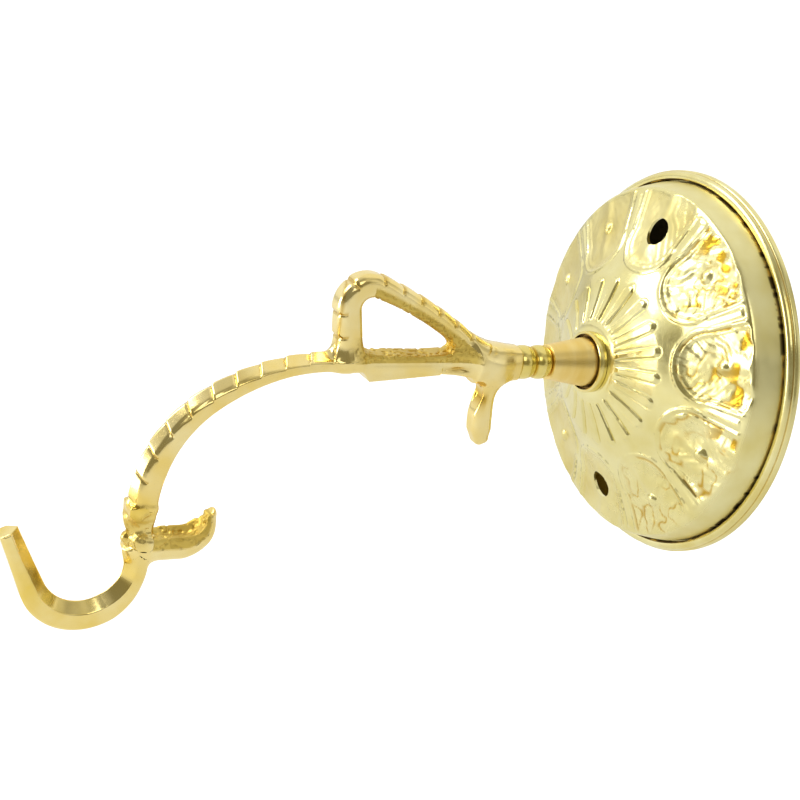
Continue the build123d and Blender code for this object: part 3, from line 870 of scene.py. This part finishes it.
# Camera, lights and floor
def photo_camera():
    """Camera at the photograph's place, angle and field."""
    azimuth, elevation, roll = map(radians, (CAMERA_AZIMUTH, CAMERA_ELEVATION, CAMERA_ROLL))
    back = Vector((sin(azimuth) * cos(elevation), -cos(azimuth) * cos(elevation), sin(elevation)))
    level = (-back).cross(Vector((0, 0, 1))).normalized()
    above = level.cross(-back)
    right = level * cos(roll) + above * sin(roll)
    up = above * cos(roll) - level * sin(roll)
    place = (back * CAMERA_DISTANCE - right * CAMERA_SIDE - up * CAMERA_RISE) * MM
    data = bpy.data.cameras.new("photo_camera")
    data.sensor_width = SENSOR
    data.lens = FOCAL_PIXELS * SENSOR / IMAGE_PIXELS
    data.clip_start = CLIP_START * MM
    camera = bpy.data.objects.new("photo_camera", data)
    bpy.context.scene.collection.objects.link(camera)
    camera.matrix_world = Matrix.Translation(place) @ Matrix((right, up, back)).transposed().to_4x4()
    bpy.context.scene.camera = camera


def soft_light(name, place, aim, width, power):
    """A large soft lamp aimed at a point of the object, and not seen itself."""
    data = bpy.data.lights.new(name, "AREA")
    data.size = width
    data.energy = power
    lamp = bpy.data.objects.new(name, data)
    bpy.context.scene.collection.objects.link(lamp)
    lamp.location = place
    lamp.visible_camera = False
    lamp.rotation_euler = (Vector(aim) - Vector(place)).to_track_quat("-Z", "Y").to_euler()


def floor():
    """Pale floor under the bracket."""
    mesh = bpy.data.meshes.new("floor")
    work = bmesh.new()
    bmesh.ops.create_grid(work, x_segments=2, y_segments=2, size=FLOOR_HALF * MM)
    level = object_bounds()[0][2] - FLOOR_GAP * MM
    bmesh.ops.translate(work, verts=work.verts, vec=(0, 0, level))
    work.to_mesh(mesh)
    work.free()
    ground = bpy.data.objects.new("floor", mesh)
    bpy.context.scene.collection.objects.link(ground)
    ground.data.materials.append(floor_material())
    ground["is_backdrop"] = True


def shade_patch():
    """Near-black disc on the wall plane behind the dome, a painted shade seen through its screw holes, and
    clear from behind.
    """
    mesh = bpy.data.meshes.new("shade_patch")
    work = bmesh.new()
    bmesh.ops.create_circle(work, cap_ends=True, segments=96, radius=SHADE_PATCH_RADIUS * MM)
    bmesh.ops.rotate(work, verts=work.verts, matrix=Matrix.Rotation(pi / 2, 3, "X"))
    bmesh.ops.translate(work, verts=work.verts, vec=(0, SHADE_PATCH_GAP * MM, 0))
    work.to_mesh(mesh)
    work.free()
    material = bpy.data.materials.new("black_shade_disc")
    material.use_nodes = True
    tree = material.node_tree
    shader = tree.nodes["Principled BSDF"]
    # Near-black: painted shade
    shader.inputs["Base Color"].default_value = (0.01, 0.01, 0.01, 1)
    shader.inputs["Roughness"].default_value = 0.9
    side = tree.nodes.new("ShaderNodeNewGeometry")
    path = tree.nodes.new("ShaderNodeLightPath")
    front = tree.nodes.new("ShaderNodeMath")
    front.operation = "GREATER_THAN"
    tree.links.new(path.outputs["Is Camera Ray"], front.inputs[0])
    tree.links.new(side.outputs["Backfacing"], front.inputs[1])
    tree.links.new(front.outputs["Value"], shader.inputs["Alpha"])
    mesh.materials.append(material)
    patch = bpy.data.objects.new("shade_patch", mesh)
    bpy.context.scene.collection.objects.link(patch)
    patch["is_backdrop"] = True


def studio_world():
    """White for the camera, and a bright room with a darker side for the light and reflections."""
    world = bpy.data.worlds.new("studio")
    bpy.context.scene.world = world
    world.use_nodes = True
    tree = world.node_tree
    tree.nodes.clear()
    make = tree.nodes.new
    link = tree.links.new
    place = make("ShaderNodeTexCoord")
    waves = make("ShaderNodeTexNoise")
    waves.inputs["Scale"].default_value = ROOM_WAVES
    waves.inputs["Detail"].default_value = 1.0
    link(place.outputs["Generated"], waves.inputs["Vector"])
    facing = make("ShaderNodeVectorMath")
    facing.operation = "DOT_PRODUCT"
    facing.inputs[1].default_value = DARK_SIDE
    link(place.outputs["Generated"], facing.inputs[0])
    sway = make("ShaderNodeMath")
    sway.operation = "MULTIPLY_ADD"
    sway.inputs[1].default_value = ROOM_SWAY
    link(waves.outputs["Fac"], sway.inputs[0])
    link(facing.outputs["Value"], sway.inputs[2])
    spread = make("ShaderNodeMath")
    spread.operation = "MULTIPLY"
    spread.inputs[1].default_value = ROOM_SPREAD
    link(sway.outputs["Value"], spread.inputs[0])
    ramp = make("ShaderNodeValToRGB")
    for stop, place_on_ramp, colour in zip(ramp.color_ramp.elements, ROOM_EDGES, (ROOM_LIGHT, ROOM_DARK)):
        stop.position = place_on_ramp
        stop.color = (*colour, 1)
    link(spread.outputs["Value"], ramp.inputs["Fac"])
    room = make("ShaderNodeBackground")
    link(ramp.outputs["Color"], room.inputs["Color"])
    room.inputs["Strength"].default_value = ROOM_STRENGTH
    white = make("ShaderNodeBackground")
    white.inputs["Color"].default_value = (1, 1, 1, 1)
    pick = make("ShaderNodeMixShader")
    output = make("ShaderNodeOutputWorld")
    link(background_share(tree), pick.inputs["Fac"])
    link(room.outputs["Background"], pick.inputs[1])
    link(white.outputs["Background"], pick.inputs[2])
    link(pick.outputs["Shader"], output.inputs["Surface"])


photo_camera()
for lamp in LAMPS:
    soft_light(*lamp)
floor()
shade_patch()
studio_world()
bpy.context.scene.view_settings.view_transform = "Standard"
